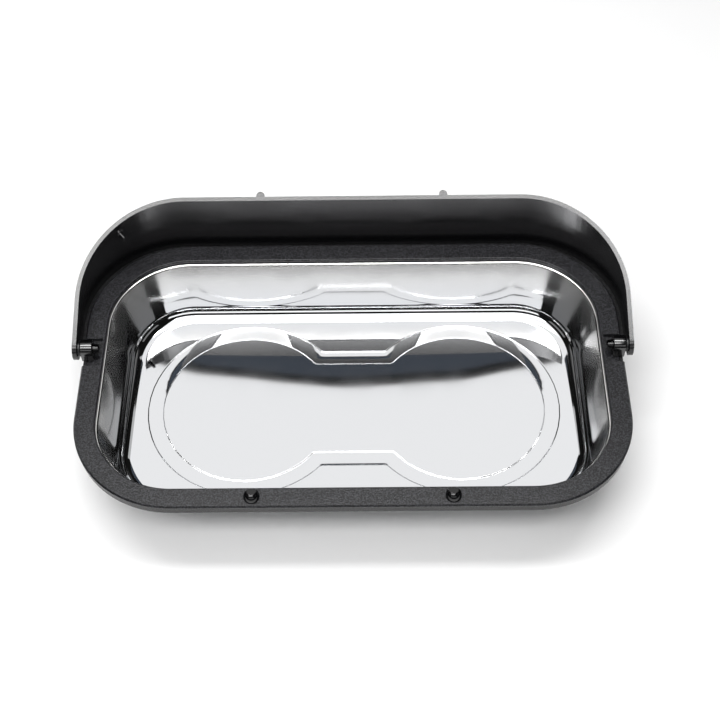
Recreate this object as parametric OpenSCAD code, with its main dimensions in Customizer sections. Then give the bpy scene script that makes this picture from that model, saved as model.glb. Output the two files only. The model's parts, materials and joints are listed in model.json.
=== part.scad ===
// Magnetic parts tray: a pressed steel dish in a two-piece plastic rim, with a swing handle that snaps
// into two clips on the front of the rim, and two rubber-covered magnets under the floor.
// Millimetres, +Z up. The origin is on the table, under the middle of the tray's box with the handle folded
// back.

/* [Rim] */
// Outer width of the rim, left to right
frame_w = 242; // [225:1:300]
// Outer depth of the rim, front to back
frame_d = 142; // [134:1:180]
// Outer corner radius of the rim, seen from above
frame_r = 45; // [38:0.5:54]
// Width of the rim's flat top
rim_w = 9.3; // [9:0.1:13]
// Thickness of the rim frame at its screws
frame_t = 3.2; // [3:0.1:5]
// Thickness of the rim frame's overhanging outer edge
edge_t = 1.5; // [1.2:0.1:2.2]
// Bevel on the rim's outer top edge
edge_bevel = 0.7; // [0.3:0.1:1]
// Bevel on the rim's inner top edge
mouth_bevel = 0.4; // [0.2:0.1:0.8]

/* [Retaining ring] */
// Height of the skirt below the parting line
skirt_h = 3.2; // [3:0.1:6]
// Thickness of the skirt
skirt_t = 1.5; // [1.2:0.1:2]
// How far the skirt sits back from the rim's edge
skirt_inset = 0.25; // [0.1:0.05:0.5]
// Open parting line between the rim frame and the skirt
parting_gap = 0.2; // [0.1:0.05:0.4]
// Gap between the ring's inner edge and the dish
ring_clear = 0.9; // [0.5:0.1:1.5]

/* [Frame screws] */
// Shank diameter
screw_d = 2.4; // [2:0.1:2.6]
// Head diameter
screw_head_d = 4.6; // [4:0.1:5]
// Head height
screw_head_h = 1.5; // [1:0.1:2.2]
// Depth that a screw bites into the rim frame and the pivot bushes
screw_bite = 2.4; // [2:0.1:2.7]
// Distance of the screw axes from the rim's outer edge
screw_in = 3.2; // [3.1:0.1:3.4]
// Screws along the front, and as many along the back
screws_per_side = 4; // [2:1:6]

/* [Dish] */
// Depth of the floor below the rim's top
dish_depth = 32.4; // [24:0.1:50]
// Thickness of the steel sheet
sheet_t = 0.8; // [0.5:0.1:1]
// Width of the dish's flange under the rim
flange_w = 3.9; // [3:0.1:4]
// Radius of the rolled lip at the top of the wall
lip_r = 1.6; // [1.2:0.1:2.4]
// Draft of the wall from upright, in degrees
wall_draft = 12; // [4:0.5:18]
// Radius between wall and floor
floor_r = 7; // [4:0.5:10]
// Flat floor left outside the bead at the front and back
bead_side_gap = 2; // [1:0.1:8]
// Flat floor left outside the bead at the ends
bead_end_gap = 3; // [1:0.1:12]
// Least gap between the two pressed circles
circle_gap = 8; // [4:1:19]
// Half width of the waist between the circles, at the bead's inner edge
waist_w = 24.5; // [16:0.5:30]
// Width of the bead
bead_w = 7; // [4:0.1:7.5]
// Depth of the bead
bead_depth = 1; // [0.5:0.1:1.6]
// Width of the bead's sloping sides
bead_run = 1; // [0.6:0.1:1.4]

/* [Magnets] */
// Gap between the pressed bead and the rubber cover under the floor
cover_gap = 1; // [0.5:0.1:8]
// Thickness of the steel cup
cup_t = 1.5; // [1:0.1:2.5]
// Height of the ring magnet
magnet_h = 5; // [4.6:0.1:8]
// Hole through the ring magnet
magnet_hole_d = 24; // [16:1:30]
// Thickness of the rubber cover under the magnet
cover_t = 1.8; // [1.2:0.1:3]
// Thickness of the rubber cover round the cup
cover_wall = 2.2; // [1.4:0.1:2.4]
// Rounding of the rubber cover's lower edge
cover_edge_r = 1.2; // [0.6:0.1:1.6]
// Diameter of the weld stud
stud_d = 5; // [4:0.5:6]
// Width of the stud's nut across its flats
nut_af = 8; // [7.5:0.1:10]
// Height of the stud's nut
nut_h = 2.6; // [2:0.1:2.8]
// Diameter of the stud's washer
stud_washer_d = 10; // [9:0.5:14]
// Thickness of the stud's washer
stud_washer_t = 1; // [0.6:0.1:1.2]

/* [Pivot] */
// Diameter of the pivot bush
bush_d = 8; // [6.5:0.1:8.4]
// Height of the foot below the pivot bush
bush_foot = 0.5; // [0.3:0.1:0.7]
// Length of the pivot bush
bush_l = 5.4; // [4.8:0.1:6]
// How far the bush stands out past the rim's outer edge
bush_out = 0.5; // [0.2:0.1:0.6]
// Diameter of the pivot pin
pin_d = 3.9; // [3:0.1:4.4]
// Diameter of the pin's snap end
snap_d = 4.5; // [4.5:0.1:5.2]
// Length of the pin's snap end
snap_l = 2.4; // [1.4:0.1:2.8]
// Width of the slot that splits the snap end
snap_slot = 0.8; // [0.5:0.1:1.2]
// Diameter of the washer between arm and bush
pivot_washer_d = 7; // [6:0.1:9]
// Thickness of the washer between arm and bush
pivot_washer_t = 0.7; // [0.4:0.05:0.85]
// Length of the notch in the rim, front to back
notch_l = 15; // [12:0.5:22]

/* [Handle] */
// Wall thickness of the handle
handle_t = 1.9; // [1.6:0.1:3]
// Gap between the rim and the handle's arms
arm_gap = 1.8; // [1.6:0.1:3]
// Gap between the rim and the handle's rear wall
rear_gap = 2.5; // [1.5:0.1:4]
// How much larger the handle's corner radius is than the rim's
corner_grow = 2.5; // [1:0.5:5]
// Radius of the arms' round ends
arm_end_r = 5.1; // [4.6:0.1:5.8]
// Rise of the handle's upper edge from pivot to rear, in degrees
handle_rise = 18; // [12:0.5:24]
// Slope that the handle's upper edge keeps when it lies latched at the front, in degrees
latch_slope = 4.5; // [3.5:0.1:6]

/* [Latch] */
// Distance between the two latch ribs
latch_pitch = 84; // [60:1:120]
// Diameter of a latch rib's round nose
rib_d = 3.9; // [3:0.1:4.5]
// How far a latch rib stands out of the handle
rib_out = 2.4; // [2:0.1:3]
// Length of a latch rib
rib_l = 14; // [8:0.5:24]
// Distance of the latch clips from the rim's front edge
clip_in = 4.8; // [4:0.1:5.6]
// Diameter of a latch clip
clip_d = 6.8; // [6:0.1:7.2]
// Height of a latch clip above the rim
clip_h = 3.8; // [3:0.1:4.5]
// How far behind a latch clip's middle a latch rib's tip comes to rest
clip_stop = 1.3; // [0.5:0.1:1.8]
// Diameter of a latch clip's stem in the rim
clip_stem_d = 3; // [2.4:0.1:3.6]
// Length of a latch clip's stem
clip_stem_l = 1.6; // [1.2:0.1:2]
// Diameter of the small rib inside the handle's left rear corner
key_rib_d = 1.8; // [1.4:0.1:3]
// Length of the small rib
key_rib_l = 8; // [4:0.5:12]
// Distance of the small rib's middle from the inside of the wall
key_rib_out = 1.4; // [1:0.1:2]

/* [Hidden] */
$fn = 96;

// Clearances: pressed together, running on the pin, between pieces that move past each other, and between the
// latched handle and the rim
press_clear = 0.02;
run_clear = 0.05;
free_clear = 0.3;
latch_clear = 0.4;

// Heights, from the table up
floor_under_z = cover_t + magnet_h + cup_t;
floor_z = floor_under_z + sheet_t;
rim_z = floor_z + dish_depth;
frame_under_z = rim_z - frame_t;
flange_z = frame_under_z + sheet_t;
parting_z = rim_z - edge_t;
shelf_under_z = parting_z - parting_gap - skirt_h;

// The rim in plan
half_w = frame_w / 2;
half_d = frame_d / 2;
mouth_half_w = half_w - rim_w;
mouth_half_d = half_d - rim_w;
mouth_r = frame_r - rim_w;

// The dish's section: lip, wall and bottom round are tangent to each other
lip_centre = [0, flange_z - lip_r];
wall_top = lip_centre + lip_r * [-cos(wall_draft), sin(wall_draft)];
wall_foot_z = floor_z + floor_r * (1 - sin(wall_draft));
wall_foot = [wall_top[0] - (wall_top[1] - wall_foot_z) * tan(wall_draft), wall_foot_z];
round_centre = wall_foot + floor_r * [-cos(wall_draft), sin(wall_draft)];
floor_half_w = mouth_half_w + round_centre[0];
floor_half_d = mouth_half_d + round_centre[0];
floor_corner_r = mouth_r + round_centre[0];
arc_steps = 10;

// The bead fills the floor, in depth or in width, and its sheet keeps its thickness on the sloping sides
circles_half_d = floor_half_d - bead_side_gap - bead_w;
circles_half_w = floor_half_w - bead_end_gap - bead_w;
bead_r = min(circles_half_d, (circles_half_w - circle_gap / 2) / 2);
pod_pitch = 2 * (circles_half_w - bead_r);
bead_side = sheet_t * tan(atan2(bead_depth, bead_run) / 2);

// The magnet fills the space inside the bead
cover_r = bead_r - bead_run / 2 - bead_side - cover_gap;
cup_d = 2 * (cover_r - cover_wall - run_clear);

// The handle in plan
handle_half_w = half_w + arm_gap + handle_t;
handle_rear = half_d + rear_gap + handle_t;
handle_r = frame_r + corner_grow;
handle_swing = 180 - handle_rise - latch_slope;
key_rib_angle = 130;
key_rib_drop = 2;

// The pivot lies where the swing brings the latch ribs into the clips: it is as far from the ribs' tips,
// measured along the handle's upper edge, before the swing as after it
clip_y = clip_in - half_d;
latch_y = clip_y + clip_stop;
edge_stretch = cos(latch_slope) / cos(handle_rise);
pivot_back = (latch_y + arm_end_r * sin(latch_slope)
    + edge_stretch * (handle_rear + rib_out + arm_end_r * sin(handle_rise))) / (1 + edge_stretch);

// It is as high as lets the arms lie just clear of the rim, where they cross the rim's outer edge
cross_angle = acos((half_w - edge_bevel - handle_half_w + handle_r) / (handle_r - handle_t));
cross_y = handle_rear - handle_r + (handle_r - handle_t) * sin(cross_angle);
cross_reach = (cross_y - pivot_back + arm_end_r * sin(handle_rise)) / cos(handle_rise);
pivot_rise = arm_end_r * cos(latch_slope) - cross_reach * sin(latch_slope) + latch_clear;
pivot_z = rim_z + pivot_rise;
notch_z = pivot_z - bush_d / 2 - bush_foot;
arm_under_z = pivot_z - arm_end_r;
handle_top = edge_height(handle_rear + rib_out);

// The box of the whole tray is centred on the origin
tray_y = (half_d - handle_rear - rib_out) / 2;

// Where the latch ribs and the handle's edge arrive at the front of the rim
latched_tip = swung([handle_rear + rib_out, handle_top]);
latched_edge = swung([handle_rear, edge_height(handle_rear)]);
clip_socket_d = rib_d + 2 * free_clear;

// The pivot along X, from the rim's outer edge
bush_in_x = half_w + bush_out - bush_l;
notch_x = bush_in_x - free_clear - snap_l - free_clear;
pin_tip_x = bush_in_x - free_clear / 2 - snap_l;
bush_screw_x = half_w - screw_in;

left = -1;
right = 1;

// Turns a [y, z] point from the folded-back handle to where it lies with the handle latched at the front
function swung(p) = let (a = handle_swing, d = p - [pivot_back, pivot_z])
    [pivot_back, pivot_z] + [d[0] * cos(a) - d[1] * sin(a), d[0] * sin(a) + d[1] * cos(a)];

// Height of the handle's upper edge at a distance behind the middle of the rim
function edge_height(y) = pivot_z + arm_end_r / cos(handle_rise) + (y - pivot_back) * tan(handle_rise);

// Points on an arc, from one angle to another
function arc(centre, r, from, to) = [for (i = [0 : arc_steps])
    let (a = from + (to - from) * i / arc_steps) centre + r * [cos(a), sin(a)]];

// Moves the tray from the rim's middle to the middle of its box
module placed() {
    translate([0, tray_y, 0]) children();
}

// Puts a piece that is drawn on the right on either side
module on_side(side) {
    placed() mirror([side < 0 ? 1 : 0, 0, 0]) children();
}

// Places a magnet piece under one of the two pressed circles
module under_pod(side) {
    on_side(side) translate([pod_pitch / 2, 0, 0]) children();
}

// Sweeps a section round a rounded rectangle: x is outwards from the outline, y is height
module around(half_x, half_y, r) {
    for (turn = [0 : 3]) {
        across = turn % 2 == 0 ? half_x : half_y;
        along = turn % 2 == 0 ? half_y : half_x;
        rotate(90 * turn) {
            translate([across - r, along - r, 0]) rotate_extrude(angle = 90) translate([r, 0]) children();
            translate([across, along - r, 0]) rotate([90, 0, 0]) linear_extrude(2 * (along - r)) children();
        }
    }
}

module rounded_plate(half_x, half_y, r) {
    square([2 * half_x, 2 * (half_y - r)], center = true);
    square([2 * (half_x - r), 2 * half_y], center = true);
    for (x = [-1, 1], y = [-1, 1]) translate([x * (half_x - r), y * (half_y - r)]) circle(r);
}

module dish_section() {
    polygon(concat(
        [[flange_w, flange_z]],
        arc(lip_centre, lip_r, 90, 180 - wall_draft),
        arc(round_centre, floor_r, -wall_draft, -90),
        arc(round_centre, floor_r + sheet_t, -90, -wall_draft),
        arc(lip_centre, lip_r - sheet_t, 180 - wall_draft, 90),
        [[flange_w, flange_z - sheet_t]]));
}

// Two joined circles as one tapered block, grown sideways; it widens by bead_run over the bead's depth
module joined_circles(grow, widen, low, high) {
    taper = widen * bead_run / bead_depth;
    wide = grow + taper * (high - floor_z);
    narrow = grow + taper * (low - floor_z);
    for (side = [-1, 1]) translate([side * pod_pitch / 2, 0, low])
        cylinder(h = high - low, r1 = bead_r + narrow, r2 = bead_r + wide);
    rotate([90, 0, 90]) linear_extrude(pod_pitch, center = true)
        polygon([[-waist_w - narrow, low], [waist_w + narrow, low],
                 [waist_w + wide, high], [-waist_w - wide, high]]);
}

// The bead's groove, or with thick = sheet_t the pressed form round it
module bead(thick) {
    side = thick > 0 ? bead_side : 0;
    low = floor_z - bead_depth - thick;
    high = thick > 0 ? floor_z - sheet_t / 2 : floor_z + sheet_t;
    difference() {
        joined_circles(bead_w + bead_run / 2 + side, 1, low, high);
        joined_circles(-bead_run / 2 - side, -1, low - sheet_t, high + sheet_t);
    }
}

module steel_dish() color("silver") placed() {
    difference() {
        union() {
            around(mouth_half_w, mouth_half_d, mouth_r) dish_section();
            translate([0, 0, floor_under_z]) linear_extrude(sheet_t)
                rounded_plate(floor_half_w, floor_half_d, floor_corner_r);
            bead(sheet_t);
        }
        bead(0);
    }
}

module frame_section() {
    rebate_x = flange_w + free_clear - rim_w;
    step_x = -skirt_inset - skirt_t - parting_gap;
    polygon([[0, parting_z], [0, rim_z - edge_bevel], [-edge_bevel, rim_z],
             [mouth_bevel - rim_w, rim_z], [-rim_w, rim_z - mouth_bevel],
             [-rim_w, flange_z], [rebate_x, flange_z], [rebate_x, frame_under_z],
             [step_x, frame_under_z], [step_x, parting_z]]);
}

module ring_section() {
    out_x = -skirt_inset;
    in_x = ring_clear - rim_w;
    polygon([[out_x, shelf_under_z], [out_x, parting_z - parting_gap],
             [out_x - skirt_t, parting_z - parting_gap], [out_x - skirt_t, frame_under_z],
             [in_x, frame_under_z], [in_x, shelf_under_z]]);
}

// One copy at each screw: along the front and back, at the front of each side, and under the bushes
module at_screws() {
    reach = half_w - frame_r;
    for (side = [-1, 1]) {
        for (i = [0 : screws_per_side - 1]) {
            x = reach * (2 * i / (screws_per_side - 1) - 1);
            translate([x, side * (half_d - screw_in), 0]) children();
        }
        translate([side * (half_w - screw_in), frame_r - half_d, 0]) children();
        translate([side * bush_screw_x, pivot_back, 0]) children();
    }
}

module screw() {
    translate([0, 0, shelf_under_z - screw_head_h]) cylinder(h = screw_head_h, d = screw_head_d);
    translate([0, 0, shelf_under_z]) cylinder(h = frame_under_z + screw_bite - shelf_under_z, d = screw_d);
}

module rim_frame() color("#323234") placed() {
    difference() {
        around(half_w, half_d, frame_r) frame_section();
        at_screws() translate([0, 0, frame_under_z - free_clear])
            cylinder(h = screw_bite + 2 * free_clear, d = screw_d + 2 * press_clear);
        notches();
        for (side = [-1, 1]) translate([side * latch_pitch / 2, clip_y, rim_z - clip_stem_l - press_clear])
            cylinder(h = frame_t, d = clip_stem_d + 2 * press_clear);
    }
}

// Room for the pivots, open to the top and to both sides
module notches() {
    for (side = [-1, 1]) translate([side * (notch_x + half_w), pivot_back, notch_z + frame_t])
        cube([frame_w, notch_l, 2 * frame_t], center = true);
}

module retaining_ring() color("#3c3c3e") placed() {
    difference() {
        union() {
            around(half_w, half_d, frame_r) ring_section();
            handle_ledge();
        }
        notches();
        at_screws() translate([0, 0, shelf_under_z - screw_head_h])
            cylinder(h = frame_t + skirt_h, d = screw_d + 2 * free_clear);
    }
}

// The ledge round the back of the ring, which the folded handle stands on
module handle_ledge() {
    inset = skirt_inset + skirt_t / 2;
    front = pivot_back + arm_end_r;
    translate([0, 0, shelf_under_z]) linear_extrude(arm_under_z - free_clear - shelf_under_z) difference() {
        handle_plan(handle_half_w, handle_rear, handle_r);
        rounded_plate(half_w - inset, half_d - inset, frame_r - inset);
        translate([-frame_w, front - frame_d]) square([2 * frame_w, frame_d]);
    }
}

module frame_screws() color("#b8b8bc") placed() {
    at_screws() screw();
}

module pivot_bush(side) color("#1c1c1d") on_side(side) {
    difference() {
        union() {
            along_pivot(bush_in_x, bush_l, bush_d);
            translate([bush_in_x, pivot_back - bush_d / 2, notch_z])
                cube([bush_l, bush_d, pivot_z - notch_z]);
        }
        along_pivot(bush_in_x - bush_l, 3 * bush_l, pin_d + 2 * run_clear);
        translate([bush_screw_x, pivot_back, frame_under_z])
            cylinder(h = screw_bite + free_clear, d = screw_d + 2 * press_clear);
    }
}

// A round bar on the pivot axis
module along_pivot(from_x, length, d) {
    translate([from_x, pivot_back, pivot_z]) rotate([0, 90, 0]) cylinder(h = length, d = d);
}

module pivot_pin(side) color("#161617") on_side(side) {
    shoulder_x = pin_tip_x + snap_l;
    difference() {
        union() {
            along_pivot(pin_tip_x, handle_half_w - pin_tip_x, pin_d);
            translate([pin_tip_x, pivot_back, pivot_z]) rotate([0, 90, 0])
                cylinder(h = snap_l, d1 = pin_d - 2 * run_clear, d2 = snap_d);
        }
        translate([shoulder_x - snap_l, pivot_back, pivot_z])
            cube([2 * (snap_l + bush_l / 2), snap_slot, 2 * snap_d], center = true);
    }
}

module pivot_washer(side) color("#2a2a2b") on_side(side) {
    middle_x = (half_w + bush_out + half_w + arm_gap) / 2;
    difference() {
        along_pivot(middle_x - pivot_washer_t / 2, pivot_washer_t, pivot_washer_d);
        along_pivot(middle_x - pivot_washer_t, 2 * pivot_washer_t, pin_d + 2 * run_clear);
    }
}

// Plan of the handle's outside or inside, open to the front
module handle_plan(half, rear, r) {
    front = pivot_back - 2 * arm_end_r;
    translate([-half, front]) square([2 * half, rear - r - front]);
    translate([-(half - r), front]) square([2 * (half - r), rear - front]);
    for (side = [-1, 1]) translate([side * (half - r), rear - r]) circle(r);
}

// Side view of the handle, swept across its full width: round ends, level lower edge, rising upper edge
module handle_side() {
    behind = handle_rear + rib_out - pivot_back;
    rotate([90, 0, 90]) translate([0, 0, -frame_w]) linear_extrude(2 * frame_w)
        translate([pivot_back, pivot_z]) {
            circle(arm_end_r);
            polygon([arm_end_r * [-sin(handle_rise), cos(handle_rise)], [0, -arm_end_r],
                     [behind, -arm_end_r], [behind, handle_top - pivot_z]]);
        }
}

module latch_rib_plan() {
    nose_y = handle_rear + rib_out - rib_d / 2;
    translate([0, nose_y]) circle(d = rib_d);
    translate([-rib_d / 2, handle_rear - handle_t / 2]) square([rib_d, nose_y - handle_rear + handle_t / 2]);
}

module handle() color("#2b2b2d") placed() {
    height = handle_top - arm_under_z;
    inner_r = handle_r - handle_t;
    corner = [handle_r - handle_half_w, handle_rear - handle_r];
    key_top = edge_height(corner[1] + inner_r * sin(key_rib_angle)) - key_rib_drop;
    difference() {
        intersection() {
            union() {
                translate([0, 0, arm_under_z]) linear_extrude(height) difference() {
                    handle_plan(handle_half_w, handle_rear, handle_r);
                    handle_plan(handle_half_w - handle_t, handle_rear - handle_t, inner_r);
                }
                for (side = [-1, 1]) translate([side * latch_pitch / 2, 0, handle_top - rib_l])
                    linear_extrude(rib_l) latch_rib_plan();
                translate([corner[0], corner[1], key_top - key_rib_l]) rotate(key_rib_angle)
                    linear_extrude(key_rib_l) {
                        translate([inner_r - key_rib_out, 0]) circle(d = key_rib_d);
                        translate([inner_r - key_rib_out, -key_rib_d / 4])
                            square([key_rib_out + handle_t / 2, key_rib_d / 2]);
                    }
            }
            handle_side();
        }
        for (side = [-1, 1])
            along_pivot(side * handle_half_w - handle_t, 2 * handle_t, pin_d + 2 * press_clear);
    }
}

module latch_clip(side) color("#18181a") on_side(side) translate([latch_pitch / 2, clip_y, rim_z]) {
    dome_r = clip_d / 2;
    socket_z = latched_edge[1] - rim_z - free_clear;
    difference() {
        union() {
            translate([0, 0, -clip_stem_l]) cylinder(h = clip_stem_l, d = clip_stem_d);
            cylinder(h = clip_h - dome_r, r = dome_r);
            intersection() {
                translate([0, 0, clip_h - dome_r]) sphere(dome_r);
                cylinder(h = clip_h, r = dome_r);
            }
        }
        translate([0, latched_tip[0] + rib_d / 2 - clip_y, socket_z]) cylinder(h = clip_h, d = clip_socket_d);
        translate([-clip_d, latched_edge[0] - free_clear - clip_y, 0]) cube([2 * clip_d, clip_d, 2 * clip_h]);
    }
}

module weld_stud(side) color("#a9a9ad") under_pod(side) {
    length = cup_t + stud_washer_t + nut_h + free_clear;
    translate([0, 0, floor_under_z - length]) cylinder(h = length, d = stud_d);
}

module magnet_cup(side) color("#8f9296") under_pod(side) translate([0, 0, cover_t]) {
    difference() {
        cylinder(h = magnet_h + cup_t, d = cup_d);
        translate([0, 0, -cup_t]) cylinder(h = magnet_h + cup_t, d = cup_d - 2 * cup_t);
        cylinder(h = 2 * (magnet_h + cup_t), d = stud_d + 2 * free_clear);
    }
}

module ring_magnet(side) color("#3a3a3a") under_pod(side) translate([0, 0, cover_t]) {
    difference() {
        cylinder(h = magnet_h, d = cup_d - 2 * cup_t - 2 * run_clear);
        translate([0, 0, -magnet_h]) cylinder(h = 3 * magnet_h, d = magnet_hole_d);
    }
}

module stud_washer(side) color("#b4b4b8") under_pod(side)
    translate([0, 0, cover_t + magnet_h - stud_washer_t]) {
        difference() {
            cylinder(h = stud_washer_t, d = stud_washer_d);
            translate([0, 0, -stud_washer_t]) cylinder(h = 3 * stud_washer_t, d = stud_d + 2 * free_clear);
        }
    }

module stud_nut(side) color("#b4b4b8") under_pod(side)
    translate([0, 0, cover_t + magnet_h - stud_washer_t - nut_h]) {
        difference() {
            cylinder(h = nut_h, d = nut_af / cos(30), $fn = 6);
            translate([0, 0, -nut_h]) cylinder(h = 3 * nut_h, d = stud_d + 2 * run_clear);
        }
    }

module rubber_cover(side) color("#202022") under_pod(side) rotate_extrude() {
    difference() {
        union() {
            square([cover_r - cover_edge_r, floor_under_z]);
            translate([0, cover_edge_r]) square([cover_r, floor_under_z - cover_edge_r]);
            translate([cover_r - cover_edge_r, cover_edge_r]) circle(cover_edge_r);
        }
        translate([0, cover_t]) square([cover_r - cover_wall, floor_under_z]);
    }
}

steel_dish();
rim_frame();
retaining_ring();
frame_screws();
handle();
pivot_bush(left);  // left_pivot_bush
pivot_bush(right);  // right_pivot_bush
pivot_pin(left);  // left_pivot_pin
pivot_pin(right);  // right_pivot_pin
pivot_washer(left);  // left_pivot_washer
pivot_washer(right);  // right_pivot_washer
latch_clip(left);  // left_latch_clip
latch_clip(right);  // right_latch_clip
weld_stud(left);  // left_weld_stud
weld_stud(right);  // right_weld_stud
magnet_cup(left);  // left_magnet_cup
magnet_cup(right);  // right_magnet_cup
ring_magnet(left);  // left_ring_magnet
ring_magnet(right);  // right_ring_magnet
stud_washer(left);  // left_stud_washer
stud_washer(right);  // right_stud_washer
stud_nut(left);  // left_stud_nut
stud_nut(right);  // right_stud_nut
rubber_cover(left);  // left_rubber_cover
rubber_cover(right);  // right_rubber_cover
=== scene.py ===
"""Magnetic parts tray: a polished steel dish in a black two-piece rim, with a swing handle and magnet feet.

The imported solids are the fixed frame, and this script gives them their looks. The dish, the rim's upper half,
the pivots, the latch clips and the screws are made again. The handle, the retaining ring and the rubber
covers are copies of their solids with eased edges. The other solids stay. Every piece gets its own finish.
Lengths are in millimetres until they go into a mesh, which is in metres.
"""

from __future__ import annotations

import json
import logging
import math
from abc import ABC, abstractmethod
from dataclasses import dataclass
from enum import Enum
from typing import Any, Iterable, Sequence

import bmesh
import bpy
from mathutils import Matrix, Quaternion, Vector

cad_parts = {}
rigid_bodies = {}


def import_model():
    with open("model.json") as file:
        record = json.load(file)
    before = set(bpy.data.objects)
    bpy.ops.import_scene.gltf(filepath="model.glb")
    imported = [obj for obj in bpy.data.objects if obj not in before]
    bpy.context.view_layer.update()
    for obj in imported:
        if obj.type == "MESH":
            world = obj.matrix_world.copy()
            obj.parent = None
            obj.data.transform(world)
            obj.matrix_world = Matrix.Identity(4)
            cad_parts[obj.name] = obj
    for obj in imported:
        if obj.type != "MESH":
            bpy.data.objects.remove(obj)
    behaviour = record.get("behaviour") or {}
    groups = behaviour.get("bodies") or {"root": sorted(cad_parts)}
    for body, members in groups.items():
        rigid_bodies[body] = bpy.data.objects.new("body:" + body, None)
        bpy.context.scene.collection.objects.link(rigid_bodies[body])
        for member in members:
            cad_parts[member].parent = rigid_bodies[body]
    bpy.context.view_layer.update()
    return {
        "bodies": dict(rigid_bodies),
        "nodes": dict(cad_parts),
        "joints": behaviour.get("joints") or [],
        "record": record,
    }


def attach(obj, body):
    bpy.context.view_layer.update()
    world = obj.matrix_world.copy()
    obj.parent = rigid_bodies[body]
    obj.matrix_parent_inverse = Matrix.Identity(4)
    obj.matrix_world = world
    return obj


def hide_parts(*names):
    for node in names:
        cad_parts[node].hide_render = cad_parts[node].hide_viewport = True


LOG = logging.getLogger("parts_tray")
MM = 0.001
UP = Vector((0, 0, 1))
# The tray's own middle, from which its pieces are measured, lies this far along Y.
TRAY_Y = -3.4
RIM_Z = 41.5
FLANGE_Z = 39.1
NOTCH_Z = 39.5775
PIVOT_BACK = 9.13169
# Points nearer to one another than this are one point.
SEAM = 0.0001
# Nearly all of a noise texture's values lie between these.
NOISE_LOW = 0.3
NOISE_HIGH = 0.7

Point2 = tuple[float, float]
Point3 = tuple[float, float, float]
Place = tuple[Point2, Point2]
Nodes = dict[str, bpy.types.Object]


class Body(Enum):
    """The two rigid bodies of the tray."""

    TRAY = "tray"
    HANDLE = "handle"


class Side(Enum):
    """The two ends of the tray, with the sign of X there."""

    LEFT = -1
    RIGHT = 1

    @property
    def word(self) -> str:
        """The side's name in lower case, as the solids use it."""
        return self.name.lower()

    def span(self, near: float, far: float) -> list[float]:
        """Gives the X of two distances from the tray's middle, the lower X first."""
        return sorted((self.value * near, self.value * far))


class Operation(Enum):
    """What a helper does to a piece, as the boolean names it."""

    CUT = "DIFFERENCE"
    ADD = "UNION"


def linear(tint: str) -> tuple[float, float, float, float]:
    """Turns an sRGB hex colour into Blender's linear colour.

    Args:
        tint: A colour such as "#1c1c1e".

    Returns:
        Linear red, green, blue and an alpha of 1.
    """
    channels = []
    for start in (1, 3, 5):
        value = int(tint[start:start + 2], 16) / 255
        channels.append(value / 12.92 if value <= 0.04045 else ((value + 0.055) / 1.055) ** 2.4)
    return (channels[0], channels[1], channels[2], 1.0)


def add_node(tree: bpy.types.NodeTree, kind: str, inputs: dict[Any, Any] | None = None,
             **settings: Any) -> bpy.types.Node:
    """Adds one node with its settings and its inputs.

    Args:
        tree: The node tree that gets the node.
        kind: The node's type, such as "ShaderNodeBump".
        inputs: Values or output sockets by input name or index.
        settings: Properties of the node itself.

    Returns:
        The new node.
    """
    node = tree.nodes.new(kind)
    for name, value in settings.items():
        setattr(node, name, value)
    for key, value in (inputs or {}).items():
        if isinstance(value, bpy.types.NodeSocket):
            tree.links.new(value, node.inputs[key])
        else:
            node.inputs[key].default_value = value
    return node


def per_metre(feature_mm: float) -> float:
    """Gives the texture scale whose features are that many millimetres across."""
    return 1.0 / (feature_mm * MM)


@dataclass(frozen=True)
class Finish(ABC):
    """One material, on Object coordinates, so that its pattern stays with the piece."""

    name: str

    @abstractmethod
    def shader(self, tree: bpy.types.NodeTree, coords: bpy.types.NodeSocket) -> bpy.types.Node:
        """Builds the finish's own nodes.

        Args:
            tree: The material's node tree.
            coords: The Object coordinates.

        Returns:
            The shader.
        """

    def material(self) -> bpy.types.Material:
        """Builds the material.

        Returns:
            The new material.
        """
        material = bpy.data.materials.new(self.name)
        material.use_nodes = True
        tree = material.node_tree
        tree.nodes.clear()
        coords = add_node(tree, "ShaderNodeTexCoord")
        shader = self.shader(tree, coords.outputs["Object"])
        add_node(tree, "ShaderNodeOutputMaterial", {"Surface": shader.outputs[0]})
        return material


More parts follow.
